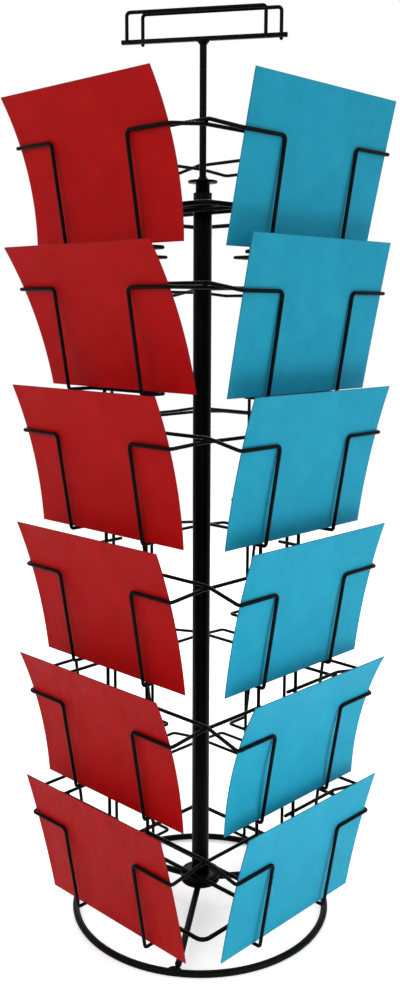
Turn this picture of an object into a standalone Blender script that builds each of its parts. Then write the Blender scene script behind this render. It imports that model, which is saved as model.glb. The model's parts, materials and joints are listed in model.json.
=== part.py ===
"""Rotating counter rack for landscape cards: four faces of wire pockets on a turning pole.

Metres, +Z up. The origin is on the floor, in the middle of the footprint. Cards stand out from
two of the four faces, so the pole's axis lies a little to one side of the origin.
A place on a face is given as (along, out, up): along the face to the right as seen from outside,
out from the pole's axis, and up.
"""
import math

import bmesh
import bpy
from mathutils import Matrix, Vector

# Clearances
GAP = 0.0003              # between pieces that touch or are welded
RUN = 0.0004              # round a shaft that turns
BITE = 0.0004             # depth by which fused shapes enter one another

# Cards, from the lowest tier up: the lean of each card's chord, and how far its foot has slid back
CARD_WIDTH = 0.1778
CARD_HEIGHT = 0.127
CARD_THICKNESS = 0.0008
FRONT_LEANS = [math.radians(lean) for lean in (13.5, 14, 14.5, 14, 23, 16)]
RIGHT_LEANS = [math.radians(lean) for lean in (13.5, 15, 13, 13.5, 11.2, 12.5)]
FRONT_SLIDES = (0.003, 0, 0.002, 0, 0.014, 0)
RIGHT_SLIDES = (0.0025, 0, 0.0005, 0.0015, 0.0005, 0.0025)
CARD_CHORDS = 12

# Wires
WIRE = 0.0032             # pockets and uprights
RING_WIRE = 0.004         # square rings and cross bars
BASE_WIRE = 0.0064        # floor ring
SPOKE_WIRE = 0.0062

# Tiers
TIERS = len(FRONT_LEANS)
TIER_PITCH = 0.120
LOWEST_RAIL = 0.1085      # height of the lowest front rail

# How far each pocket's front is bent up or down from its tier, from the lowest tier up
FRONT_RISES = (0, 0, 0, 0.001, 0.0025, -0.0015)
RIGHT_RISES = (0, -0.0035, -0.0025, -0.0005, 0, -0.0045)

# One pocket
CARD_PLAY = 0.002         # room at each end of a card, at the front rail
ARM_FLARE = 0.002         # how far an arm spreads towards the front
RAIL_REACH = 0.0400       # the front rail stands this far out from the arms' crossing
ARM_RISE = 0.0045         # the arms cross this far above the front rail
ARM_OVERRUN = 0.008       # length of an arm past the upright that it is welded to
LEG_SPACING = 0.091
LEG_DROP = 0.084
LEG_SLOPE = 0.014         # a leg's foot is this much nearer the pole than its top
FRONT_BEND = 0.0032       # bend radii of the wire's centre line
LEG_BEND = 0.004
FOOT_BEND = 0.003

# Uprights and square rings
UPRIGHT_SPACING = 0.051
UPRIGHT_TAIL = 0.0035     # below the lowest pocket floor
UPRIGHT_HEAD = 0.0105     # above the highest front rail
LOWER_RING_RISE = 0.0135  # above the lowest pocket floor
UPPER_RING_DROP = 0.0535  # below the highest front rail
RING_BEND = 0.008
BAR_CLEARANCE = 0.0018    # between a cross bar and the pole
BAR_OVERHANG = 0.001

# Pole and bearing
SPINDLE = 0.008
BUSH_WALL = 0.0018
TUBE_WALL = 0.0017
PLATE_DIAMETER = 0.038
PLATE_THICKNESS = 0.003
FLANGE_DIAMETER = 0.033
FLANGE_THICKNESS = 0.0012
COLLAR_LENGTH = 0.015
PIVOT_LENGTH = 0.020
PIVOT_CROWN = 0.004       # solid top of the pivot cap
POLE_HEAD = 0.011         # pole above the upper plate

# Floor stand
BASE_RADIUS = 0.1215      # centre line of the floor ring
HUB_DIAMETER = 0.038
HUB_THICKNESS = 0.0038
HUB_ENTRY = 0.009         # length of a spoke under the hub
HUB_COVER = 0.001         # hub above the spokes
SPOKES = 3
SPOKE_ANGLE = math.radians(-55.3)
SPOKE_FOOT = 0.010        # level end of a spoke, over the ring

# Sign holder
SIGN_YAW = math.radians(31.9)
PLUG_DEPTH = 0.035        # length of the plug inside the pole
PLUG_STANDOFF = 0.0084    # plug that shows above the pole
WASHER_DIAMETER = 0.026
WASHER_THICKNESS = 0.002
ROD = 0.0061
ROD_LENGTH = 0.1149
WELD_WIDTH = 0.0028       # weld cone round the rod's foot
WELD_HEIGHT = 0.0038
BAR_LENGTH = 0.145
BAR_WIDTH = 0.0045
BAR_HEIGHT = 0.0035
HOOP_WIRE = 0.0032
HOOP_SPAN = 0.121         # between the centres of a hoop's legs
HOOP_RISE = 0.0215        # centre of a hoop's top above the bar
HOOP_STAGGER = 0.006      # each hoop is shifted this far along the bar
HOOP_BEND = 0.003
BACK_HOOP_FOOT = 0.0015   # the back hoop's legs reach below the bar

# Facets
TURNED_SIDES = 24
RING_SIDES = 48
BASE_FACETS = 8           # sides of the floor ring's wire, one of them flat on the floor
SHARP = math.radians(35)  # edges above this angle stay sharp
SAME_POINT = 1e-6

# Search for a card's bend, in radians per metre
BEND_LIMITS = (-5.0, 12.0)
BEND_HALVINGS = 50

# Places worked out from the sizes above
FRONT_HALF = CARD_WIDTH / 2 + CARD_PLAY + WIRE / 2
ARM = FRONT_HALF - ARM_FLARE
RAIL_OUT = ARM + RAIL_REACH
FOOT_OUT = RAIL_OUT - LEG_SLOPE
UPRIGHT_OUT = ARM + WIRE + GAP
RING_OUT = UPRIGHT_OUT - WIRE / 2 - GAP - RING_WIRE / 2
ARM_END = UPRIGHT_SPACING / 2 - ARM_OVERRUN
ARM_STEP = (WIRE + GAP) / 2

HIGHEST_RAIL = LOWEST_RAIL + (TIERS - 1) * TIER_PITCH
LOWEST_FLOOR = LOWEST_RAIL - LEG_DROP
LOWER_RING_Z = LOWEST_FLOOR + LOWER_RING_RISE
UPPER_RING_Z = HIGHEST_RAIL - UPPER_RING_DROP
LOWER_BAR_Z = LOWER_RING_Z - RING_WIRE - GAP
UPPER_BAR_Z = UPPER_RING_Z + RING_WIRE + GAP
LOWER_PLATE_TOP = LOWER_BAR_Z - RING_WIRE / 2 + BITE
UPPER_PLATE_BOTTOM = UPPER_BAR_Z + RING_WIRE / 2 - BITE
FLANGE_TOP = LOWER_PLATE_TOP - PLATE_THICKNESS - GAP
HUB_TOP = FLANGE_TOP - FLANGE_THICKNESS - GAP
POLE_BOTTOM = LOWER_PLATE_TOP + GAP
POLE_TOP = UPPER_PLATE_BOTTOM + PLATE_THICKNESS + POLE_HEAD
PLUG_BOTTOM = POLE_TOP - PLUG_DEPTH
PIVOT_TOP = PLUG_BOTTOM - GAP

BUSH_BORE = SPINDLE / 2 + RUN
BUSH_RADIUS = BUSH_BORE + BUSH_WALL
TUBE_BORE = BUSH_RADIUS + GAP
TUBE_RADIUS = TUBE_BORE + TUBE_WALL
BAR_OUT = TUBE_RADIUS + BAR_CLEARANCE + RING_WIRE / 2

CARD_SEAT = LEG_DROP - WIRE / 2 - GAP
CARD_FOOT = FOOT_OUT - FOOT_BEND - CARD_THICKNESS / 2 - GAP
FACES = ("front", "right", "back", "left")
LEVEL = (0,) * TIERS
RISES = {"front": FRONT_RISES, "right": RIGHT_RISES, "back": LEVEL, "left": LEVEL}


def material(name, colour, roughness, metallic=0.0):
    made = bpy.data.materials.new(name)
    made.use_nodes = True
    shader = made.node_tree.nodes["Principled BSDF"]
    shader.inputs["Base Color"].default_value = (*colour, 1)
    shader.inputs["Roughness"].default_value = roughness
    shader.inputs["Metallic"].default_value = metallic
    return made


def empty(name, parent=None, location=(0, 0, 0), turn=0.0):
    made = bpy.data.objects.new(name, None)
    bpy.context.collection.objects.link(made)
    made.parent = parent
    made.location = location
    made.rotation_euler.z = turn
    return made


def place(name, data, finish, parent, location=(0, 0, 0)):
    """Object of the given mesh or curve, with its material, under its parent."""
    if not data.materials:
        data.materials.append(finish)
    made = bpy.data.objects.new(name, data)
    bpy.context.collection.objects.link(made)
    made.parent = parent
    made.location = location
    return made


def bend(before, corner, after, radius, chords):
    """Points of the arc that rounds a corner of a wire's path."""
    into = (corner - before).normalized()
    out = (after - corner).normalized()
    turn = into.angle(out)
    start = corner - into * radius * math.tan(turn / 2)
    inward = (out - into * into.dot(out)).normalized()
    centre = start + inward * radius
    spokes = [Matrix.Rotation(turn * k / chords, 3, into.cross(out)) for k in range(chords + 1)]
    return [centre + spoke @ (start - centre) for spoke in spokes]


def bent_path(corners, closed=False):
    """Path through corners given as (point, bend radius, chords); radius 0 keeps the corner sharp."""
    path = []
    for index, (corner, radius, chords) in enumerate(corners):
        is_end = not closed and index in (0, len(corners) - 1)
        if is_end or radius == 0:
            path.append(corner)
            continue
        before = corners[index - 1][0]
        after = corners[(index + 1) % len(corners)][0]
        path += bend(before, corner, after, radius, chords)
    return path


def wire(name, path, diameter, closed=False):
    """Round wire along a path, as a curve with six sides."""
    curve = bpy.data.curves.new(name, "CURVE")
    curve.dimensions = "3D"
    curve.bevel_depth = diameter / 2
    curve.bevel_resolution = 1
    curve.render_resolution_u = 0
    curve.use_fill_caps = True
    spline = curve.splines.new("POLY")
    spline.points.add(len(path) - 1)
    for target, point in zip(spline.points, path):
        target.co = (*point, 1)
    spline.use_cyclic_u = closed
    return curve


def finished_mesh(name, shape):
    """Mesh from a bmesh, closed, facing out and smooth apart from its corners."""
    bmesh.ops.remove_doubles(shape, verts=shape.verts, dist=SAME_POINT)
    bmesh.ops.recalc_face_normals(shape, faces=shape.faces)
    mesh = bpy.data.meshes.new(name)
    shape.to_mesh(mesh)
    shape.free()
    mesh.shade_smooth()
    mesh.set_sharp_from_angle(angle=SHARP)
    return mesh


def turned(name, profile, sides=TURNED_SIDES):
    """Solid turned about Z from (radius, height) points; a profile clear of the axis is closed."""
    shape = bmesh.new()
    verts = [shape.verts.new((radius, 0, height)) for radius, height in profile]
    edges = [shape.edges.new(pair) for pair in zip(verts, verts[1:])]
    if profile[0][0] > 0:
        edges.append(shape.edges.new((verts[-1], verts[0])))
    bmesh.ops.spin(shape, geom=verts + edges, axis=(0, 0, 1), cent=(0, 0, 0),
                   angle=math.tau, steps=sides, use_merge=True)
    return finished_mesh(name, shape)


def ring_profile(inner, outer, bottom, top):
    return [(inner, bottom), (outer, bottom), (outer, top), (inner, top)]


def rod_mesh(name, path, diameter):
    """Round wire along a path, as a mesh that can be fused."""
    curve = wire(name, path, diameter)
    guide = bpy.data.objects.new(name, curve)
    shape = bmesh.new()
    shape.from_mesh(bpy.data.meshes.new_from_object(guide))
    bpy.data.objects.remove(guide)
    return finished_mesh(name, shape)


def fuse(body, meshes):
    """Unite further meshes with a body."""
    for mesh in meshes:
        helper = place(f"{mesh.name}_shape", mesh, body.data.materials[0], body.parent)
        helper.hide_render = True
        helper.display_type = "WIRE"
        union = body.modifiers.new(mesh.name, "BOOLEAN")
        union.operation = "UNION"
        union.solver = "EXACT"
        union.object = helper


def on_face(along, out, up):
    """A place on the front face; the other faces are this one turned about the pole."""
    return Vector((along, -out, up))


def rail_height(face, tier):
    return LOWEST_RAIL + tier * TIER_PITCH + RISES[face][tier]


def pocket_path(rise):
    """One pocket's wire: arm, front rail, leg, floor, leg, front rail, arm."""
    floor = -LEG_DROP
    leg = LEG_SPACING / 2
    path = []
    for side, step in ((1, -ARM_STEP), (-1, ARM_STEP)):
        up = ARM_RISE + step - rise
        half = [
            (on_face(side * ARM, ARM_END, up), 0, 1),
            (on_face(side * ARM, ARM + WIRE, up), 0, 1),
            (on_face(side * FRONT_HALF, RAIL_OUT, 0), FRONT_BEND, 2),
            (on_face(side * leg, RAIL_OUT, 0), LEG_BEND, 1),
            (on_face(side * leg, FOOT_OUT, floor), FOOT_BEND, 1),
            (on_face(side * leg, ARM, floor), LEG_BEND, 1),
        ]
        path += half if side > 0 else half[::-1]
    return bent_path(path)


def card_bend(lean, foot):
    """Bend, in radians per metre, that lays a card standing at foot against the front rail."""
    contact = RAIL_OUT - (WIRE / 2 + GAP + CARD_THICKNESS / 2) / math.cos(lean)
    low, high = BEND_LIMITS
    for _ in range(BEND_HALVINGS):
        middle = (low + high) / 2
        start = lean - middle * CARD_HEIGHT / 2
        sine = math.sin(start) + middle * CARD_SEAT
        out = foot + (math.cos(start) - math.sqrt(1 - sine * sine)) / middle
        if out > contact:
            low = middle
        else:
            high = middle
    return (low + high) / 2


def card_section(lean, foot):
    """A card's middle line from foot to head, as (out, up, tilt from upright)."""
    curl = card_bend(lean, foot)
    start = lean - curl * CARD_HEIGHT / 2
    section = []
    for k in range(CARD_CHORDS + 1):
        tilt = start + curl * CARD_HEIGHT * k / CARD_CHORDS
        out = foot + (math.cos(start) - math.cos(tilt)) / curl
        up = -CARD_SEAT + (math.sin(tilt) - math.sin(start)) / curl
        section.append((out, up, tilt))
    return section


def card_mesh(name, section):
    """Sheet whose section is bent as given, spread along the face."""
    half = CARD_THICKNESS / 2
    lift = half * abs(math.sin(section[0][2]))
    outline = [(out + half * math.cos(tilt), up - half * math.sin(tilt) + lift)
               for out, up, tilt in section]
    outline += [(out - half * math.cos(tilt), up + half * math.sin(tilt) + lift)
                for out, up, tilt in reversed(section)]
    shape = bmesh.new()
    verts = [shape.verts.new(on_face(-CARD_WIDTH / 2, out, up)) for out, up in outline]
    face = shape.faces.new(verts)
    spread = bmesh.ops.extrude_face_region(shape, geom=[face])["geom"]
    moved = [item for item in spread if isinstance(item, bmesh.types.BMVert)]
    bmesh.ops.translate(shape, verts=moved, vec=(CARD_WIDTH, 0, 0))
    return finished_mesh(name, shape)


def card_sections(leans, slides):
    return [card_section(lean, CARD_FOOT - slide) for lean, slide in zip(leans, slides)]


def reach(sections):
    """How far the cards of a face stand out from the axis."""
    return max(section[-1][0] + CARD_THICKNESS / 2 for section in sections)


def square_ring(name, up):
    """Square of wire with rounded corners, inside the uprights."""
    signs = ((1, 1), (-1, 1), (-1, -1), (1, -1))
    corners = [(Vector((x * RING_OUT, y * RING_OUT, up)), RING_BEND, 3) for x, y in signs]
    return wire(name, bent_path(corners, closed=True), RING_WIRE, closed=True)


def cross_bars(name, up):
    """Two bars side by side past the pole, across the square ring."""
    end = RING_OUT + RING_WIRE / 2 + BAR_OVERHANG
    return [
        rod_mesh(f"{name}_{label}", [Vector((-end, y, up)), Vector((end, y, up))], RING_WIRE)
        for label, y in (("front_bar", -BAR_OUT), ("back_bar", BAR_OUT))
    ]


def make_pockets(faces, finish):
    for face in FACES:
        for tier, rise in enumerate(RISES[face]):
            name = f"pocket_{face}_{tier + 1}"
            place(name, wire(name, pocket_path(rise), WIRE), finish, faces[face],
                  (0, 0, rail_height(face, tier)))


def make_uprights(faces, finish):
    bottom = LOWEST_FLOOR - UPRIGHT_TAIL
    top = HIGHEST_RAIL + UPRIGHT_HEAD
    data = wire("upright", [Vector((0, 0, bottom)), Vector((0, 0, top))], WIRE)
    for face in FACES:
        for side, along in (("left", -UPRIGHT_SPACING / 2), ("right", UPRIGHT_SPACING / 2)):
            place(f"upright_{face}_{side}", data, finish, faces[face], on_face(along, UPRIGHT_OUT, 0))


def make_cards(faces, face, sections, finish):
    for tier, section in enumerate(sections):
        name = f"card_{face}_{tier + 1}"
        place(name, card_mesh(name, section), finish, faces[face], (0, 0, rail_height(face, tier)))


def make_stand(stand, black, steel):
    """Floor ring, hub with its spokes, and the spindle that the pole turns on."""
    facet = math.tau / BASE_FACETS
    wire_radius = BASE_WIRE / 2 / math.cos(facet / 2)
    angles = [facet * (k + 0.5) for k in range(BASE_FACETS)]
    section = [(BASE_RADIUS + wire_radius * math.cos(angle), BASE_WIRE / 2 + wire_radius * math.sin(angle))
               for angle in angles]
    place("base_ring", turned("base_ring", section, RING_SIDES), black, stand)

    hub_bottom = HUB_TOP - HUB_THICKNESS
    hub_radius = HUB_DIAMETER / 2
    disc = [(0, hub_bottom), (hub_radius, hub_bottom), (hub_radius, HUB_TOP), (0, HUB_TOP)]
    hub = place("base_spider", turned("base_spider", disc), black, stand)
    foot_up = BASE_WIRE + GAP + SPOKE_WIRE / 2
    side_view = [
        (hub_radius - HUB_ENTRY, HUB_TOP - HUB_COVER - SPOKE_WIRE / 2),
        (BASE_RADIUS - SPOKE_FOOT, foot_up),
        (BASE_RADIUS, foot_up),
    ]
    spokes = []
    for k in range(SPOKES):
        angle = SPOKE_ANGLE + math.tau * k / SPOKES
        heading = Vector((math.cos(angle), math.sin(angle), 0))
        path = [heading * out + Vector((0, 0, up)) for out, up in side_view]
        spokes.append(rod_mesh(f"spoke_{k + 1}", path, SPOKE_WIRE))
    fuse(hub, spokes)

    top = PIVOT_TOP - PIVOT_CROWN - GAP
    shaft = [(0, HUB_TOP + GAP), (SPINDLE / 2, HUB_TOP + GAP), (SPINDLE / 2, top), (0, top)]
    place("spindle", turned("spindle", shaft), steel, stand)


def make_pole(rack, black, nylon):
    """Tube with its two bearings, the square rings, and the plates and bars that carry them."""
    place("pole_tube", turned("pole_tube", ring_profile(TUBE_BORE, TUBE_RADIUS, POLE_BOTTOM, POLE_TOP)),
          black, rack)
    flange_bottom = FLANGE_TOP - FLANGE_THICKNESS
    collar_top = POLE_BOTTOM + COLLAR_LENGTH
    bush = [(BUSH_BORE, flange_bottom), (FLANGE_DIAMETER / 2, flange_bottom),
            (FLANGE_DIAMETER / 2, FLANGE_TOP), (BUSH_RADIUS, FLANGE_TOP),
            (BUSH_RADIUS, collar_top), (BUSH_BORE, collar_top)]
    place("lower_bush", turned("lower_bush", bush), nylon, rack)
    pivot_bottom = PIVOT_TOP - PIVOT_LENGTH
    crown_bottom = PIVOT_TOP - PIVOT_CROWN
    cap = [(0, crown_bottom), (BUSH_BORE, crown_bottom), (BUSH_BORE, pivot_bottom),
           (BUSH_RADIUS, pivot_bottom), (BUSH_RADIUS, PIVOT_TOP), (0, PIVOT_TOP)]
    place("pivot_cap", turned("pivot_cap", cap), nylon, rack)

    place("lower_ring", square_ring("lower_ring", LOWER_RING_Z), black, rack)
    place("upper_ring", square_ring("upper_ring", UPPER_RING_Z), black, rack)
    plate_radius = PLATE_DIAMETER / 2
    lower_plate = ring_profile(TUBE_BORE, plate_radius, LOWER_PLATE_TOP - PLATE_THICKNESS, LOWER_PLATE_TOP)
    lower = place("lower_spider", turned("lower_spider", lower_plate), black, rack)
    fuse(lower, cross_bars("lower", LOWER_BAR_Z))
    upper_plate = ring_profile(TUBE_RADIUS + RUN, plate_radius, UPPER_PLATE_BOTTOM,
                               UPPER_PLATE_BOTTOM + PLATE_THICKNESS)
    upper = place("upper_spider", turned("upper_spider", upper_plate), black, rack)
    fuse(upper, cross_bars("upper", UPPER_BAR_Z))


def hoop_path(foot, top):
    """A hoop standing on two legs, in the plane of X and Z."""
    half = HOOP_SPAN / 2
    corners = [
        (Vector((-half, 0, foot)), 0, 1),
        (Vector((-half, 0, top)), HOOP_BEND, 2),
        (Vector((half, 0, top)), HOOP_BEND, 2),
        (Vector((half, 0, foot)), 0, 1),
    ]
    return bent_path(corners)


def make_sign(sign, black):
    """Plug with its washer and rod, and a bar with a hoop on either side to hold a card sign."""
    plug = BUSH_RADIUS
    washer_bottom = POLE_TOP + PLUG_STANDOFF
    washer_top = washer_bottom + WASHER_THICKNESS
    rod_top = washer_top + ROD_LENGTH
    post = [(0, PLUG_BOTTOM), (plug, PLUG_BOTTOM), (plug, washer_bottom),
            (WASHER_DIAMETER / 2, washer_bottom), (WASHER_DIAMETER / 2, washer_top),
            (ROD / 2 + WELD_WIDTH, washer_top), (ROD / 2, washer_top + WELD_HEIGHT),
            (ROD / 2, rod_top), (0, rod_top)]
    place("sign_post", turned("sign_post", post), black, sign)

    bar_bottom = rod_top + GAP
    shape = bmesh.new()
    bmesh.ops.create_cube(shape, size=1, matrix=Matrix.Diagonal((BAR_LENGTH, BAR_WIDTH, BAR_HEIGHT, 1)))
    place("sign_bar", finished_mesh("sign_bar", shape), black, sign, (0, 0, bar_bottom + BAR_HEIGHT / 2))

    hoop_out = BAR_WIDTH / 2 + GAP + HOOP_WIRE / 2
    top = bar_bottom + BAR_HEIGHT + HOOP_RISE
    front = wire("hoop_front", hoop_path(bar_bottom, top), HOOP_WIRE)
    place("hoop_front", front, black, sign, (-HOOP_STAGGER, -hoop_out, 0))
    back = wire("hoop_back", hoop_path(bar_bottom - BACK_HOOP_FOOT, top), HOOP_WIRE)
    place("hoop_back", back, black, sign, (HOOP_STAGGER, hoop_out, 0))


def build():
    for old in list(bpy.data.objects):
        bpy.data.objects.remove(old)

    black = material("black_powder_coat", (0.012, 0.012, 0.013), 0.4)
    steel = material("bright_steel", (0.55, 0.55, 0.56), 0.3, 1.0)
    nylon = material("black_nylon", (0.020, 0.020, 0.021), 0.5)
    red = material("red_card", (0.37, 0.011, 0.014), 0.6)
    blue = material("blue_card", (0.02, 0.32, 0.52), 0.6)

    front_cards = card_sections(FRONT_LEANS, FRONT_SLIDES)
    right_cards = card_sections(RIGHT_LEANS, RIGHT_SLIDES)
    bare = RAIL_OUT + WIRE / 2
    axis = ((bare - reach(right_cards)) / 2, (reach(front_cards) - bare) / 2, 0)

    stand = empty("stand", location=axis)
    rack = empty("rack_axis", stand)
    sign = empty("sign_axis", rack, turn=SIGN_YAW)
    faces = {face: empty(f"face_{face}", rack, turn=math.pi / 2 * k) for k, face in enumerate(FACES)}

    make_stand(stand, black, steel)
    make_pole(rack, black, nylon)
    make_uprights(faces, black)
    make_pockets(faces, black)
    make_cards(faces, "front", front_cards, red)
    make_cards(faces, "right", right_cards, blue)
    make_sign(sign, black)


build()
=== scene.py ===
"""Looks of the rotating card rack: powder-coated wire and its welds, plain card, white studio."""
import json
import math

import bmesh
import bpy
from mathutils import Matrix, Vector


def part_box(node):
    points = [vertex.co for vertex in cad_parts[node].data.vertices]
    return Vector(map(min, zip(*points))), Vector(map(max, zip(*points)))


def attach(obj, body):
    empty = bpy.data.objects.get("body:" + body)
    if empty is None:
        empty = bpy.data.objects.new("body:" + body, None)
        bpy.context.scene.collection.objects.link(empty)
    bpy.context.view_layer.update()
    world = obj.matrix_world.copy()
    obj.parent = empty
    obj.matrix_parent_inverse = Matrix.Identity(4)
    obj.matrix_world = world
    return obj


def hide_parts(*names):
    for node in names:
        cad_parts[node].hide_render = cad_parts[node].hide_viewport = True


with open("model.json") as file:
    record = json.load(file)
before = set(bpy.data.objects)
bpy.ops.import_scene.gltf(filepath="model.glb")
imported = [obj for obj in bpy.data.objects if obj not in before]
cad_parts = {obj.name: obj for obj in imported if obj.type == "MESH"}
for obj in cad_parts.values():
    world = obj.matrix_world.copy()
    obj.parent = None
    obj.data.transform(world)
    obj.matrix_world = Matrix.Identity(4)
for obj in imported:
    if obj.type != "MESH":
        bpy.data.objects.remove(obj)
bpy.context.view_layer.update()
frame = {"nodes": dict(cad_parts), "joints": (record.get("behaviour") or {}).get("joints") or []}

# Sizes of the solids, in metres
GAP = 0.0003              # between pieces that touch or are welded
RUN = 0.0004              # between the pole and the upper plate's bore
WIRE = 0.0032             # pockets and uprights
RING_WIRE = 0.004         # square rings and cross bars
BASE_WIRE = 0.0064        # floor ring
SPOKE_WIRE = 0.0062

# Tiers and pockets; "out" is a distance from the pole's axis
TIERS = 6
TIER_PITCH = 0.120
LOWEST_RAIL = 0.1085      # height of the lowest front rail
FRONT_HALF = 0.0925       # half of a pocket's width at its front rail
RAIL_OUT = 0.1305
FOOT_OUT = 0.1165         # of a leg's foot
ARM = 0.0905              # of the line along which an arm runs back
ARM_END = 0.0175          # of an arm's back end
ARM_RISE = 0.0045         # arms cross this far above a tier's front rails
ARM_STEP = (WIRE + GAP) / 2    # one arm up and the other down from there
LEG_SPACING = 0.091
LEG_DROP = 0.084
FRONT_BEND = 0.0032
LEG_BEND = 0.004
FOOT_BEND = 0.003

# How far each pocket's front is bent up or down from its tier, from the lowest tier up
FRONT_RISES = (0, 0, 0, 0.001, 0.0025, -0.0015)
RIGHT_RISES = (0, -0.0035, -0.0025, -0.0005, 0, -0.0045)

# Uprights, square rings, pole and its plates
UPRIGHT_SPACING = 0.051
UPRIGHT_OUT = ARM + WIRE + GAP
RING_OUT = UPRIGHT_OUT - WIRE / 2 - GAP - RING_WIRE / 2
RING_BEND = 0.008
BAR_OUT = 0.012
BAR_OVERHANG = 0.001
PLATE_THICKNESS = 0.003
TUBE_WALL = 0.0017

# Floor stand
BASE_RADIUS = 0.1215
SPOKES = 3
SPOKE_ANGLE = math.radians(-55.3)
SPOKE_FOOT = 0.010        # level end of a spoke, over the ring
SPOKE_BEND = 0.012
HUB_RADIUS = 0.019
HUB_THICKNESS = 0.0038
HUB_ENTRY = 0.009         # length of a spoke under the hub
HUB_COVER = 0.001         # thickness of the hub above a spoke

# Sign holder
SIGN_YAW = math.radians(31.9)
PLUG_RADIUS = 0.0062
WASHER_BOTTOM = 0.6833
WASHER_THICKNESS = 0.002
ROD = 0.0061
SIGN_BAR_LENGTH = 0.145
SIGN_BAR_WIDTH = 0.0045
HOOP_WIRE = 0.0032
HOOP_SPAN = 0.121
HOOP_STAGGER = 0.006
HOOP_BEND = 0.003

# Cards, from the lowest tier up: the lean of each card, and how far its foot has slid back
CARD_WIDTH = 0.1778
CARD_HEIGHT = 0.127
CARD_THICKNESS = 0.0008
CARD_SEAT = LEG_DROP - WIRE / 2 - GAP
CARD_FOOT = FOOT_OUT - FOOT_BEND - CARD_THICKNESS / 2 - GAP
FRONT_LEANS = [math.radians(lean) for lean in (13.5, 14, 14.5, 14, 23, 16)]
RIGHT_LEANS = [math.radians(lean) for lean in (13.5, 15, 13, 13.5, 11.2, 12.5)]
FRONT_SLIDES = (0.003, 0, 0.002, 0, 0.014, 0)
RIGHT_SLIDES = (0.0025, 0, 0.0005, 0.0015, 0.0005, 0.0025)
BEND_LIMITS = (-5.0, 12.0)       # of the search for a card's bend, in radians per metre
BEND_HALVINGS = 50

# Welds, eased edges and the cards' darker borders
BEAD = 0.0017                    # half width of a bead
BEAD_FLATNESS = 0.55             # its thickness as a share of its width
SPOKE_BEAD = (0.0029, 0.0062, 0.0029)    # half sizes by a spoke: across the ring, along it, up
SPOKE_BEAD_SHIFT = 0.0025        # along the ring, to one side of the spoke
ROD_FOOT_WELD = (0.0028, 0.0038)         # width and height of the weld cone at the rod's foot
ROD_HEAD_WELD = (0.0026, 0.0030)         # and at its head
ROD_WELD_HOLLOW = 0.4
EDGE = 0.0004                    # eased edges of plates and tubes
BAR_BEVEL = 0.0006               # of the sign bar
# Width of a darker-toned border along each card's cut edges, in the cut edges' tones
DARK_BORDER_WIDTH = 0.0004               # darkened border of a card

# Fineness of the meshes
BEND_CHORDS = 6
END_ANGLES = [math.radians(angle) for angle in (20, 45, 70, 90)]    # of a wire's rounded end
WIRE_RESOLUTION = 4
BASE_WIRE_SIDES = 20
TURNED_SIDES = 64
RING_SIDES = 128
CARD_CHORDS = 28
CARD_COLUMNS = 20
WELD_STEPS = 4
BEVEL_SEGMENTS = 3
BEAD_SUBDIVISIONS = 2
SAME_POINT = 1e-6
SHARP = math.radians(40)         # edges above this angle stay sharp
TURNED_SHARP = math.radians(60)
ALL_SMOOTH = math.radians(180)

# Finishes: noise as (scale, detail, roughness), tones as (dark, light), roughness as (low, high)
COAT_CLOUD = (45.0, 4.0)
COAT_TONES = ((0.0018, 0.0016, 0.0016), (0.0042, 0.0039, 0.0039))
COAT_ROUGHNESS = (0.34, 0.46)
COAT_GLOSS = 0.035
PEEL_SCALE = 900.0
PEEL_DEPTH = 0.00004
RED_TONES = ((0.325, 0.0029, 0.0033), (0.425, 0.0048, 0.0053))
RED_EDGE_TONES = ((0.19, 0.006, 0.008), (0.26, 0.008, 0.010))
BLUE_TONES = ((0.0114, 0.247, 0.373), (0.018, 0.298, 0.443))
BLUE_EDGE_TONES = ((0.018, 0.15, 0.22), (0.026, 0.20, 0.29))
CARD_MOTTLE = (34.0, 8.0, 0.7)
MOTTLE_RANGE = (0.4, 0.8)        # values of the mottling between the two tones
SCUFF_STRETCH = (160.0, 160.0, 14.0)
SCUFF_DETAIL = 4.0
SCUFF_SHARE = 0.2                # of the scuffs in the mottling
CARD_ROUGHNESS = (0.46, 0.62)
CARD_GLOSS = 0.06
FIBRES = (1100.0, 5.0)
FIBRE_DEPTH = 0.00003
STEEL_STRETCH = (900.0, 900.0, 8.0)
STEEL_TONES = ((0.45, 0.45, 0.46), (0.62, 0.62, 0.63))
STEEL_ROUGHNESS = (0.22, 0.38)
NYLON_CLOUD = (120.0, 3.0)
NYLON_TONES = ((0.016, 0.016, 0.017), (0.024, 0.024, 0.025))
NYLON_ROUGHNESS = (0.42, 0.55)

# Camera of the photograph
CAMERA_AZIMUTH = math.radians(43.87)
CAMERA_DISTANCE = 0.947
CAMERA_HEIGHT = 0.5741
CAMERA_PITCH = math.radians(10.016)
CAMERA_ROLL = math.radians(0.197)
CAMERA_AIM = math.radians(0.089)
FOCAL_PIXELS = 1045.1
IMAGE_HEIGHT = 989
SENSOR = 36.0

# Stage: lamps as (name, azimuth, height, distance, size, power, target height)
FLOOR_SIZE = 6.0
FLOOR_TONE = 0.9                 # share of the floor's light that shows its shadows
FLOOR_GLOW = 0.42                # the rest of its white
FLOOR_BOUNCE = 0.8
WORLD_LIGHT = 0.65
LAMPS = (
    ("key", math.radians(5), 1.5, 1.8, 1.4, 14, 0.42),
    ("low_fill", math.radians(88), 0.10, 0.60, 0.5, 2.3, 0.10),
    ("high_fill", math.radians(88), 0.80, 0.65, 0.5, 0.7, 0.70),
    ("back", math.radians(225), 1.0, 1.2, 1.0, 10, 0.0),
)

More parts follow.
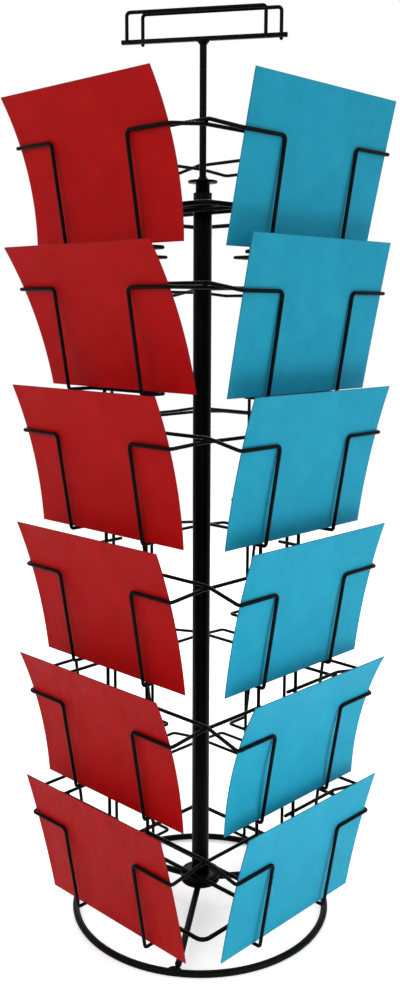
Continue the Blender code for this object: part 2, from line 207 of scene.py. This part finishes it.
FACES = ("front", "right", "back", "left")
RINGS = ("lower_ring", "upper_ring")
LEVEL = (0,) * TIERS
RISES = {"front": FRONT_RISES, "right": RIGHT_RISES, "back": LEVEL, "left": LEVEL}
RAILS = [LOWEST_RAIL + tier * TIER_PITCH for tier in range(TIERS)]
SIDEWAYS = Vector((1, 0, 0))     # directions on the front face
INWARDS = Vector((0, 1, 0))
UPWARDS = Vector((0, 0, 1))
turn_joint = next(joint for joint in frame["joints"] if joint["name"] == "rack_turn")
AXIS = Vector((turn_joint["pos_m"][0], turn_joint["pos_m"][1], 0))
AT_AXIS = Matrix.Translation(AXIS)
AT_SIGN = AT_AXIS @ Matrix.Rotation(SIGN_YAW, 4, "Z")


def node(tree, kind, **inputs):
    """Shader node with its inputs set; an output given as an input is linked."""
    made = tree.nodes.new(kind)
    for label, value in inputs.items():
        socket = made.inputs[label.replace("_", " ")]
        if isinstance(value, bpy.types.NodeSocket):
            tree.links.new(value, socket)
        else:
            socket.default_value = value
    return made


def noise(tree, where, scale, detail=2.0, roughness=0.5):
    made = node(tree, "ShaderNodeTexNoise", Vector=where, Scale=scale, Detail=detail,
                Roughness=roughness)
    return made.outputs["Fac"]


def stretched_noise(tree, where, stretch, detail=2.0):
    """Noise with its own scale along each axis."""
    mapped = node(tree, "ShaderNodeMapping", Vector=where, Scale=stretch)
    return noise(tree, mapped.outputs["Vector"], 1.0, detail)


def spread(tree, value, low, high, start=0.3, stop=0.7):
    """Value between start and stop, the middle of a noise as a rule, mapped onto low to high."""
    made = node(tree, "ShaderNodeMapRange", Value=value, From_Min=start, From_Max=stop,
                To_Min=low, To_Max=high)
    return made.outputs["Result"]


def between(tree, factor, first, second):
    """Colour between two, by a factor."""
    made = tree.nodes.new("ShaderNodeMix")
    made.data_type = "RGBA"
    tree.links.new(factor, made.inputs["Factor"])
    made.inputs["A"].default_value = (*first, 1)
    made.inputs["B"].default_value = (*second, 1)
    return made.outputs["Result"]


def new_material(name):
    made = bpy.data.materials.new(name)
    made.use_nodes = True
    tree = made.node_tree
    shader = tree.nodes["Principled BSDF"]
    where = tree.nodes.new("ShaderNodeTexCoord").outputs["Object"]
    return made, tree, shader, where


def colour(tree, shader, factor, tones):
    tree.links.new(between(tree, factor, *tones), shader.inputs["Base Color"])


def roughen(tree, shader, factor, limits):
    tree.links.new(spread(tree, factor, *limits), shader.inputs["Roughness"])


def bump(tree, shader, height, depth):
    made = node(tree, "ShaderNodeBump", Height=height, Distance=depth, Strength=1.0)
    tree.links.new(made.outputs["Normal"], shader.inputs["Normal"])


def powder_coat():
    """Satin black with the fine orange peel of baked powder."""
    made, tree, shader, where = new_material("black_powder_coat")
    cloud = noise(tree, where, *COAT_CLOUD)
    colour(tree, shader, cloud, COAT_TONES)
    roughen(tree, shader, cloud, COAT_ROUGHNESS)
    shader.inputs["Specular IOR Level"].default_value = COAT_GLOSS
    bump(tree, shader, noise(tree, where, PEEL_SCALE), PEEL_DEPTH)
    return made


def card_stock(name, tones):
    """Plain dyed card: faint mottling, fibres and scuffs."""
    made, tree, shader, where = new_material(name)
    mottle = noise(tree, where, *CARD_MOTTLE)
    scuff = stretched_noise(tree, where, SCUFF_STRETCH, SCUFF_DETAIL)
    mixed = tree.nodes.new("ShaderNodeMath")
    mixed.operation = "MULTIPLY_ADD"
    tree.links.new(scuff, mixed.inputs[0])
    mixed.inputs[1].default_value = SCUFF_SHARE
    tree.links.new(mottle, mixed.inputs[2])
    colour(tree, shader, spread(tree, mixed.outputs["Value"], 0.0, 1.0, *MOTTLE_RANGE), tones)
    roughen(tree, shader, scuff, CARD_ROUGHNESS)
    shader.inputs["Specular IOR Level"].default_value = CARD_GLOSS
    bump(tree, shader, noise(tree, where, *FIBRES), FIBRE_DEPTH)
    return made


def drawn_steel():
    """Bright steel with fine lines along its length."""
    made, tree, shader, where = new_material("drawn_steel")
    lines = stretched_noise(tree, where, STEEL_STRETCH)
    colour(tree, shader, lines, STEEL_TONES)
    roughen(tree, shader, lines, STEEL_ROUGHNESS)
    shader.inputs["Metallic"].default_value = 1.0
    return made


def moulded_nylon():
    made, tree, shader, where = new_material("moulded_nylon")
    cloud = noise(tree, where, *NYLON_CLOUD)
    colour(tree, shader, cloud, NYLON_TONES)
    roughen(tree, shader, cloud, NYLON_ROUGHNESS)
    return made


FINISHES = {
    "black_wire": powder_coat(),
    "red_card": card_stock("red_card", RED_TONES),
    "blue_card": card_stock("blue_card", BLUE_TONES),
    "bright_steel": drawn_steel(),
    "nylon": moulded_nylon(),
}
CUT_EDGES = {
    "red_card": card_stock("red_card_edge", RED_EDGE_TONES),
    "blue_card": card_stock("blue_card_edge", BLUE_EDGE_TONES),
}


def add(name, data, slot, body, matrix, *nodes):
    """Piece with its finish, in place, riding on a body and standing for its nodes."""
    data.materials.append(FINISHES[slot])
    made = bpy.data.objects.new(name, data)
    bpy.context.scene.collection.objects.link(made)
    made.matrix_world = matrix
    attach(made, body)
    if nodes:
        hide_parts(*nodes)
    return made


def heights(name):
    """Lowest and highest point of a node."""
    low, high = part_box(name)
    return low.z, high.z


def middle_height(name):
    return sum(heights(name)) / 2


def bar_height(label):
    """Height of the cross bars: under the lower ring and on top of the upper one."""
    step = RING_WIRE + GAP
    return middle_height(f"{label}_ring") + (step if label == "upper" else -step)


def radius_of(name):
    """Outer radius of a turned node."""
    low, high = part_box(name)
    return (high.x - low.x) / 2


def face_turn(face):
    return Matrix.Rotation(math.pi / 2 * FACES.index(face), 4, "Z")


def face_matrix(face, up=0.0):
    return AT_AXIS @ face_turn(face) @ Matrix.Translation((0, 0, up))


def on_face(along, out, up):
    """A place on the front face; the other faces are this one turned about the pole."""
    return Vector((along, -out, up))


def bend(before, corner, after, radius):
    """Points of the arc that rounds a corner of a wire's path."""
    into = (corner - before).normalized()
    out = (after - corner).normalized()
    turn = into.angle(out)
    start = corner - into * radius * math.tan(turn / 2)
    inward = (out - into * into.dot(out)).normalized()
    centre = start + inward * radius
    axis = into.cross(out)
    turns = [Matrix.Rotation(turn * k / BEND_CHORDS, 3, axis) for k in range(BEND_CHORDS + 1)]
    return [centre + part @ (start - centre) for part in turns]


def bent_path(corners, closed=False):
    """Path through corners given as (point, bend radius); radius 0 keeps the corner sharp."""
    path = []
    for index, (corner, radius) in enumerate(corners):
        is_end = not closed and index in (0, len(corners) - 1)
        if is_end or radius == 0:
            path.append(corner)
            continue
        before = corners[index - 1][0]
        after = corners[(index + 1) % len(corners)][0]
        path += bend(before, corner, after, radius)
    return path


def rounded_end(end, inner, radius):
    """Points and widths of a wire's end that is rounded off, from its tip inwards."""
    way = (inner - end).normalized()
    return [(end + way * radius * (1 - math.cos(angle)), math.sin(angle)) for angle in END_ANGLES]


def wire(name, path, diameter, closed=False):
    """Round wire along a path, with rounded ends."""
    radius = diameter / 2
    points = [(point, 1.0) for point in path]
    if not closed:
        head = rounded_end(path[0], path[1], radius)
        tail = rounded_end(path[-1], path[-2], radius)
        points = head + points[1:-1] + tail[::-1]
    curve = bpy.data.curves.new(name, "CURVE")
    curve.dimensions = "3D"
    curve.bevel_depth = radius
    curve.bevel_resolution = WIRE_RESOLUTION
    curve.use_fill_caps = True
    spline = curve.splines.new("POLY")
    spline.points.add(len(points) - 1)
    for target, (point, width) in zip(spline.points, points):
        target.co = (*point, 1)
        target.radius = width
    spline.use_cyclic_u = closed
    return curve


def mesh_from(name, shape, sharp=SHARP):
    bmesh.ops.remove_doubles(shape, verts=shape.verts, dist=SAME_POINT)
    bmesh.ops.recalc_face_normals(shape, faces=shape.faces)
    mesh = bpy.data.meshes.new(name)
    shape.to_mesh(mesh)
    shape.free()
    mesh.shade_smooth()
    mesh.set_sharp_from_angle(angle=sharp)
    return mesh


def spin(shape, verts, edges, sides):
    """Turn a profile once round the Z axis."""
    bmesh.ops.spin(shape, geom=verts + edges, axis=(0, 0, 1), cent=(0, 0, 0),
                   angle=math.tau, steps=sides, use_merge=True)


def eased(profile):
    """Turned profile with each corner off the axis cut by a bevel, up to a third of its sides."""
    points = []
    closed = profile[0][0] > 0
    for index, corner in enumerate(profile):
        here = Vector(corner)
        is_end = not closed and index in (0, len(profile) - 1)
        if is_end:
            points.append(here)
            continue
        before = Vector(profile[index - 1])
        after = Vector(profile[(index + 1) % len(profile)])
        for other in (before, after):
            reach = min(EDGE, (other - here).length / 3)
            points.append(here + (other - here).normalized() * reach)
    return points


def turned(name, profile):
    """Solid turned about Z from (radius, height) points; a profile clear of the axis is closed."""
    shape = bmesh.new()
    verts = [shape.verts.new((radius, 0, height)) for radius, height in eased(profile)]
    edges = [shape.edges.new(pair) for pair in zip(verts, verts[1:])]
    if profile[0][0] > 0:
        edges.append(shape.edges.new((verts[-1], verts[0])))
    spin(shape, verts, edges, TURNED_SIDES)
    return mesh_from(name, shape, TURNED_SHARP)


def ring_profile(inner, outer, bottom, top):
    return [(inner, bottom), (outer, bottom), (outer, top), (inner, top)]


def pocket_path(rise):
    """One pocket's wire: arm, front rail, leg, floor, leg, front rail, arm."""
    leg = LEG_SPACING / 2
    path = []
    for side in (1, -1):
        up = ARM_RISE - side * ARM_STEP - rise
        half = [
            (on_face(side * ARM, ARM_END, up), 0),
            (on_face(side * ARM, ARM + WIRE, up), 0),
            (on_face(side * FRONT_HALF, RAIL_OUT, 0), FRONT_BEND),
            (on_face(side * leg, RAIL_OUT, 0), LEG_BEND),
            (on_face(side * leg, FOOT_OUT, -LEG_DROP), FOOT_BEND),
            (on_face(side * leg, ARM, -LEG_DROP), LEG_BEND),
        ]
        path += half if side > 0 else half[::-1]
    return bent_path(path)


def make_pockets():
    for face in FACES:
        for tier, (rail, rise) in enumerate(zip(RAILS, RISES[face])):
            name = f"pocket_{face}_{tier + 1}"
            add(f"{name}_wire", wire(name, pocket_path(rise), WIRE), "black_wire", "rack",
                face_matrix(face, rail + rise), name)


def make_uprights():
    low, high = heights("upright_front_left")
    for face in FACES:
        for side, along in (("left", -UPRIGHT_SPACING / 2), ("right", UPRIGHT_SPACING / 2)):
            name = f"upright_{face}_{side}"
            path = [on_face(along, UPRIGHT_OUT, low), on_face(along, UPRIGHT_OUT, high)]
            add(f"{name}_wire", wire(name, path, WIRE), "black_wire", "rack",
                face_matrix(face), name)


def make_rings():
    signs = ((1, 1), (-1, 1), (-1, -1), (1, -1))
    for name in RINGS:
        up = middle_height(name)
        corners = [(Vector((x * RING_OUT, y * RING_OUT, up)), RING_BEND) for x, y in signs]
        path = bent_path(corners, closed=True)
        add(f"{name}_wire", wire(name, path, RING_WIRE, closed=True), "black_wire", "rack",
            AT_AXIS, name)


def make_pole():
    tube_radius = radius_of("pole_tube")
    profile = ring_profile(tube_radius - TUBE_WALL, tube_radius, *heights("pole_tube"))
    add("pole", turned("pole", profile), "black_wire", "rack", AT_AXIS, "pole_tube")


def make_spiders():
    """Round plates on the pole, each with a pair of cross bars that carry a square ring."""
    tube_radius = radius_of("pole_tube")
    low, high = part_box("lower_spider")
    plate_radius = (high.y - low.y) / 2
    upper_top = heights("upper_spider")[1]
    plates = (
        ("lower", tube_radius - TUBE_WALL, low.z),
        ("upper", tube_radius + RUN, upper_top - PLATE_THICKNESS),
    )
    end = RING_OUT + RING_WIRE / 2 + BAR_OVERHANG
    for label, bore, bottom in plates:
        plate = f"{label}_plate"
        profile = ring_profile(bore, plate_radius, bottom, bottom + PLATE_THICKNESS)
        add(plate, turned(plate, profile), "black_wire", "rack", AT_AXIS, f"{label}_spider")
        up = bar_height(label)
        for side, across in (("front", -BAR_OUT), ("back", BAR_OUT)):
            path = [Vector((-end, across, up)), Vector((end, across, up))]
            name = f"{label}_{side}_bar"
            add(name, wire(name, path, RING_WIRE), "black_wire", "rack", AT_AXIS)


def make_floor_ring():
    radius = BASE_WIRE / 2
    shape = bmesh.new()
    section = []
    for k in range(BASE_WIRE_SIDES):
        angle = math.tau * k / BASE_WIRE_SIDES
        out = BASE_RADIUS + radius * math.cos(angle)
        up = radius + radius * math.sin(angle)
        section.append(shape.verts.new((out, 0, up)))
    edges = [shape.edges.new((section[k - 1], section[k])) for k in range(BASE_WIRE_SIDES)]
    spin(shape, section, edges, RING_SIDES)
    add("floor_ring", mesh_from("floor_ring", shape), "black_wire", "base", AT_AXIS, "base_ring")


def spoke_heading(index):
    angle = SPOKE_ANGLE + math.tau * index / SPOKES
    return Vector((math.cos(angle), math.sin(angle), 0))


def make_hub():
    """Disc with the spokes that come out from under it and lie on the floor ring."""
    top = heights("base_spider")[1]
    bottom = top - HUB_THICKNESS
    disc = [(0, bottom), (HUB_RADIUS, bottom), (HUB_RADIUS, top), (0, top)]
    add("hub", turned("hub", disc), "black_wire", "base", AT_AXIS, "base_spider")
    side_view = (
        (HUB_RADIUS - HUB_ENTRY, top - HUB_COVER - SPOKE_WIRE / 2, 0),
        (BASE_RADIUS - SPOKE_FOOT, BASE_WIRE + GAP + SPOKE_WIRE / 2, SPOKE_BEND),
        (BASE_RADIUS, BASE_WIRE + GAP + SPOKE_WIRE / 2, 0),
    )
    for k in range(SPOKES):
        heading = spoke_heading(k)
        corners = [(heading * out + Vector((0, 0, up)), radius) for out, up, radius in side_view]
        name = f"spoke_{k + 1}"
        add(name, wire(name, bent_path(corners), SPOKE_WIRE), "black_wire", "base", AT_AXIS)


def weld_flare(radius, level, size, way):
    """Slightly hollow weld round a rod, as points that leave the face at a level."""
    width, height = size
    points = []
    for k in range(WELD_STEPS + 1):
        share = k / WELD_STEPS
        hollow = ROD_WELD_HOLLOW * share * (1 - share)
        points.append((radius + width * (1 - share - hollow), level + way * height * share))
    return points


def make_sign_post():
    """Plug with washer and rod."""
    plug_bottom, rod_top = heights("sign_post")
    washer_top = WASHER_BOTTOM + WASHER_THICKNESS
    washer = radius_of("sign_post")
    profile = [(0, plug_bottom), (PLUG_RADIUS, plug_bottom), (PLUG_RADIUS, WASHER_BOTTOM),
               (washer, WASHER_BOTTOM), (washer, washer_top)]
    profile += weld_flare(ROD / 2, washer_top, ROD_FOOT_WELD, 1)
    profile += weld_flare(ROD / 2, rod_top, ROD_HEAD_WELD, -1)[::-1]
    profile.append((0, rod_top))
    name = "sign_post_turned"
    add(name, turned(name, profile), "black_wire", "sign", AT_SIGN, "sign_post")


def make_sign_bar():
    low, high = heights("sign_bar")
    size = Matrix.Diagonal((SIGN_BAR_LENGTH, SIGN_BAR_WIDTH, high - low, 1))
    middle = Matrix.Translation((0, 0, (low + high) / 2))
    shape = bmesh.new()
    bmesh.ops.create_cube(shape, size=1, matrix=middle @ size)
    bmesh.ops.bevel(shape, geom=shape.edges[:], offset=BAR_BEVEL, segments=BEVEL_SEGMENTS,
                    profile=0.5, affect="EDGES")
    name = "sign_bar_bevelled"
    add(name, mesh_from(name, shape), "black_wire", "sign", AT_SIGN, "sign_bar")


def make_hoops():
    """Two wire hoops, one on each side of the sign bar and shifted along it."""
    hoop_out = SIGN_BAR_WIDTH / 2 + GAP + HOOP_WIRE / 2
    half = HOOP_SPAN / 2
    for name, side in (("hoop_front", -1), ("hoop_back", 1)):
        low, high = heights(name)
        top = high - HOOP_WIRE / 2
        corners = [(Vector((-half, 0, low)), 0), (Vector((-half, 0, top)), HOOP_BEND),
                   (Vector((half, 0, top)), HOOP_BEND), (Vector((half, 0, low)), 0)]
        place = AT_SIGN @ Matrix.Translation((side * HOOP_STAGGER, side * hoop_out, 0))
        add(f"{name}_wire", wire(name, bent_path(corners), HOOP_WIRE), "black_wire", "sign",
            place, name)


def card_bend(lean, foot):
    """Bend, in radians per metre, that lays a card standing at foot against the front rail."""
    contact = RAIL_OUT - (WIRE / 2 + GAP + CARD_THICKNESS / 2) / math.cos(lean)
    low, high = BEND_LIMITS
    for _ in range(BEND_HALVINGS):
        middle = (low + high) / 2
        start = lean - middle * CARD_HEIGHT / 2
        sine = math.sin(start) + middle * CARD_SEAT
        out = foot + (math.cos(start) - math.sqrt(1 - sine * sine)) / middle
        if out > contact:
            low = middle
        else:
            high = middle
    return (low + high) / 2


def with_border(length, count):
    """Even places along a card's side, with the line of the darker border next to each end."""
    places = [length * k / count for k in range(count + 1)]
    return [0.0, DARK_BORDER_WIDTH, *places[1:-1], length - DARK_BORDER_WIDTH, length]


def rim(rows):
    """Pairs of neighbouring points round a grid."""
    loop = rows[0] + [row[-1] for row in rows[1:-1]] + rows[-1][::-1]
    loop += [row[0] for row in rows[-2:0:-1]]
    return list(zip(loop, loop[1:] + loop[:1]))


def card_mesh(name, lean, foot):
    """Curled sheet of two faces; the cut edges and a darker border beside them are its second
    finish.
    """
    curl = card_bend(lean, foot)
    start = lean - curl * CARD_HEIGHT / 2
    half = CARD_THICKNESS / 2
    lift = half * abs(math.sin(start))
    across = [place - CARD_WIDTH / 2 for place in with_border(CARD_WIDTH, CARD_COLUMNS)]
    last_column = len(across) - 2
    shape = bmesh.new()
    sheets = []
    for side in (half, -half):
        rows = []
        for along in with_border(CARD_HEIGHT, CARD_CHORDS):
            tilt = start + curl * along
            out = foot + (math.cos(start) - math.cos(tilt)) / curl + side * math.cos(tilt)
            rise = (math.sin(tilt) - math.sin(start)) / curl
            up = lift - CARD_SEAT + rise - side * math.sin(tilt)
            rows.append([shape.verts.new(on_face(place, out, up)) for place in across])
        sheets.append(rows)
        last_row = len(rows) - 2
        for row, (low, high) in enumerate(zip(rows, rows[1:])):
            for column in range(last_column + 1):
                face = shape.faces.new((low[column], low[column + 1],
                                        high[column + 1], high[column]))
                is_border = row in (0, last_row) or column in (0, last_column)
                face.material_index = int(is_border)
    for first, second in zip(rim(sheets[0]), rim(sheets[1])):
        shape.faces.new((*first, *second[::-1])).material_index = 1
    return mesh_from(name, shape)


def make_cards():
    loads = (
        ("front", FRONT_LEANS, FRONT_SLIDES, "red_card"),
        ("right", RIGHT_LEANS, RIGHT_SLIDES, "blue_card"),
    )
    for face, leans, slides, slot in loads:
        for tier, (lean, slide) in enumerate(zip(leans, slides)):
            name = f"card_{face}_{tier + 1}"
            sheet = card_mesh(f"{name}_sheet", lean, CARD_FOOT - slide)
            up = RAILS[tier] + RISES[face][tier]
            made = add(f"{name}_sheet", sheet, slot, name, face_matrix(face, up), name)
            made.data.materials.append(CUT_EDGES[slot])


def face_welds(face):
    """Contacts between the wires of one face, as (place, direction across the contact)."""
    touch = ARM + WIRE / 2 + GAP / 2
    ring_touch = UPRIGHT_OUT - WIRE / 2 - GAP / 2
    upright = UPRIGHT_SPACING / 2
    spots = []
    for rail, rise in zip(RAILS, RISES[face]):
        level = rail + ARM_RISE
        floor = rail + rise - LEG_DROP
        for side in (1, -1):
            spots.append((on_face(side * touch, upright, level - side * ARM_STEP), SIDEWAYS))
            spots.append((on_face(side * upright, touch, floor), INWARDS))
        spots.append((on_face(ARM, ARM, level), UPWARDS))
    for ring in RINGS:
        level = middle_height(ring)
        for side in (1, -1):
            spots.append((on_face(side * upright, ring_touch, level), INWARDS))
    turn = face_turn(face).to_3x3()
    return [(turn @ spot, turn @ across) for spot, across in spots]


def bar_welds():
    """Contacts between the cross bars and the square rings."""
    spots = []
    for label in ("lower", "upper"):
        level = (bar_height(label) + middle_height(f"{label}_ring")) / 2
        for x in (RING_OUT, -RING_OUT):
            for y in (BAR_OUT, -BAR_OUT):
                spots.append((Vector((x, y, level)), UPWARDS))
    return spots


def bead(place, turn, size):
    """Matrix that makes a unit ball into a weld bead."""
    return Matrix.Translation(place) @ turn.to_matrix().to_4x4() @ Matrix.Diagonal((*size, 1))


def weld_mesh(name, beads):
    shape = bmesh.new()
    for matrix in beads:
        bmesh.ops.create_icosphere(shape, subdivisions=BEAD_SUBDIVISIONS, radius=1, matrix=matrix)
    return mesh_from(name, shape, ALL_SMOOTH)


def make_welds():
    """Flattened beads at the rack's contacts, and longer ones beside the spokes' feet."""
    flat = (BEAD, BEAD, BEAD * BEAD_FLATNESS)
    contacts = [spot for face in FACES for spot in face_welds(face)] + bar_welds()
    beads = [bead(place, across.to_track_quat("Z", "Y"), flat) for place, across in contacts]
    add("rack_welds", weld_mesh("rack_welds", beads), "black_wire", "rack", AT_AXIS)
    feet = []
    for k in range(SPOKES):
        heading = spoke_heading(k)
        aside = Vector((heading.y, -heading.x, 0)) * SPOKE_BEAD_SHIFT
        place = heading * BASE_RADIUS + aside + Vector((0, 0, BASE_WIRE))
        feet.append(bead(place, heading.to_track_quat("X", "Z"), SPOKE_BEAD))
    add("base_welds", weld_mesh("base_welds", feet), "black_wire", "base", AT_AXIS)


def finish_hidden_nodes():
    """The bearing parts inside the pole keep their solids."""
    hidden = (("spindle", "bright_steel"), ("lower_bush", "nylon"), ("pivot_cap", "nylon"))
    for name, slot in hidden:
        slots = frame["nodes"][name].data.materials
        slots.clear()
        slots.append(FINISHES[slot])


def seen_rays(tree):
    """One for the rays that show a backdrop: from the camera, or by way of gloss or glass."""
    path = tree.nodes.new("ShaderNodeLightPath")
    seen = path.outputs["Is Camera Ray"]
    for label in ("Is Glossy Ray", "Is Transmission Ray"):
        either = tree.nodes.new("ShaderNodeMath")
        either.operation = "MAXIMUM"
        tree.links.new(seen, either.inputs[0])
        tree.links.new(path.outputs[label], either.inputs[1])
        seen = either.outputs["Value"]
    return seen


def floor_material():
    """White where no shadow falls as seen, and a plain pale surface for the light it returns."""
    made = bpy.data.materials.new("white_floor")
    made.use_nodes = True
    tree = made.node_tree
    shown = tree.nodes["Principled BSDF"]
    shown.inputs["Base Color"].default_value = (FLOOR_TONE, FLOOR_TONE, FLOOR_TONE, 1)
    shown.inputs["Roughness"].default_value = 1.0
    shown.inputs["Specular IOR Level"].default_value = 0.0
    shown.inputs["Emission Color"].default_value = (1, 1, 1, 1)
    shown.inputs["Emission Strength"].default_value = FLOOR_GLOW
    pale = (FLOOR_BOUNCE, FLOOR_BOUNCE, FLOOR_BOUNCE, 1)
    bounce = node(tree, "ShaderNodeBsdfDiffuse", Color=pale)
    mixed = tree.nodes.new("ShaderNodeMixShader")
    tree.links.new(seen_rays(tree), mixed.inputs[0])
    tree.links.new(bounce.outputs[0], mixed.inputs[1])
    tree.links.new(shown.outputs[0], mixed.inputs[2])
    tree.links.new(mixed.outputs[0], tree.nodes["Material Output"].inputs["Surface"])
    return made


def make_floor():
    shape = bmesh.new()
    bmesh.ops.create_grid(shape, x_segments=1, y_segments=1, size=FLOOR_SIZE)
    floor = bpy.data.objects.new("floor", mesh_from("floor", shape))
    bpy.context.scene.collection.objects.link(floor)
    floor.data.materials.append(floor_material())


def make_light():
    """White surroundings, and lamps aimed at the pole's axis."""
    world = bpy.data.worlds.new("studio")
    world.use_nodes = True
    tree = world.node_tree
    background = tree.nodes["Background"]
    background.inputs["Color"].default_value = (1, 1, 1, 1)
    strength = spread(tree, seen_rays(tree), WORLD_LIGHT, 1.0, 0.0, 1.0)
    tree.links.new(strength, background.inputs["Strength"])
    bpy.context.scene.world = world

    for name, azimuth, height, distance, size, power, target in LAMPS:
        lamp = bpy.data.lights.new(name, "AREA")
        lamp.shape = "DISK"
        lamp.size = size
        lamp.energy = power
        away = Vector((math.sin(azimuth), -math.cos(azimuth), 0))
        place = AXIS + away * distance + Vector((0, 0, height))
        aim = AXIS + Vector((0, 0, target)) - place
        made = bpy.data.objects.new(name, lamp)
        bpy.context.scene.collection.objects.link(made)
        made.location = place
        made.rotation_euler = aim.to_track_quat("-Z", "Y").to_euler()


def make_camera():
    data = bpy.data.cameras.new("camera")
    data.sensor_fit = "VERTICAL"
    data.sensor_height = SENSOR
    data.lens = FOCAL_PIXELS * SENSOR / IMAGE_HEIGHT
    camera = bpy.data.objects.new("camera", data)
    bpy.context.scene.collection.objects.link(camera)
    away = Vector((math.sin(CAMERA_AZIMUTH), -math.cos(CAMERA_AZIMUTH), 0))
    place = AXIS + away * CAMERA_DISTANCE + Vector((0, 0, CAMERA_HEIGHT))
    heading = Matrix.Rotation(CAMERA_AZIMUTH + CAMERA_AIM, 4, "Z")
    pitch = Matrix.Rotation(math.pi / 2 - CAMERA_PITCH, 4, "X")
    roll = Matrix.Rotation(CAMERA_ROLL, 4, "Z")
    camera.matrix_world = Matrix.Translation(place) @ heading @ pitch @ roll
    bpy.context.scene.camera = camera


make_camera()
make_floor()
make_light()
make_pockets()
make_uprights()
make_rings()
make_pole()
make_spiders()
make_floor_ring()
make_hub()
make_sign_post()
make_sign_bar()
make_hoops()
make_cards()
make_welds()
finish_hidden_nodes()
bpy.context.scene.view_settings.view_transform = "Standard"
